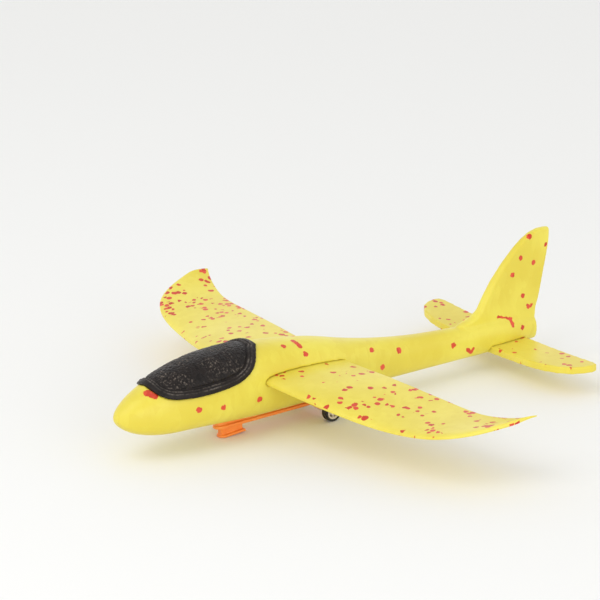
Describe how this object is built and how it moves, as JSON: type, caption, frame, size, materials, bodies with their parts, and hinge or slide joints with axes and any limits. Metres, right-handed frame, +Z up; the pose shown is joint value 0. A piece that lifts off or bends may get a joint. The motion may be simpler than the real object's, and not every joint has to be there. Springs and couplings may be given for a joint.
{
  "type": "foam catapult glider",
  "caption": "Moulded foam glider with a one-piece wing and tailplane through slots, a foam canopy, and a belly launch rail with a T-lug and small wheels.",
  "frame": {"origin": "on the floor under the middle of the overall length, on the plane of symmetry", "axes": "-Y towards the nose, +Y towards the tail, X along the span with +X to port, +Z up"},
  "size_m": [0.344, 0.34, 0.088],
  "materials": {
    "foam_body": "satin",
    "foam_speckled": "satin",
    "foam_black": "satin",
    "steel": "satin",
    "orange_plastic": "satin",
    "hub_plastic": "satin",
    "tyre": "matte"
  },
  "bodies": {
    "airframe": {"fuselage": "foam_body", "main_wing": "foam_speckled", "tailplane": "foam_speckled", "canopy": "foam_black", "nose_weight": "steel", "launch_rail": "orange_plastic"},
    "wheelset": {"axle": "steel", "hub_left": "hub_plastic", "hub_right": "hub_plastic", "tyre_left": "tyre", "tyre_right": "tyre"}
  },
  "joints": [
    {"name": "wheel_spin", "type": "hinge", "parent": "airframe", "child": "wheelset", "pos_m": [0, -0.02, 0.006], "axis": [1, 0, 0], "continuous": true}
  ]
}
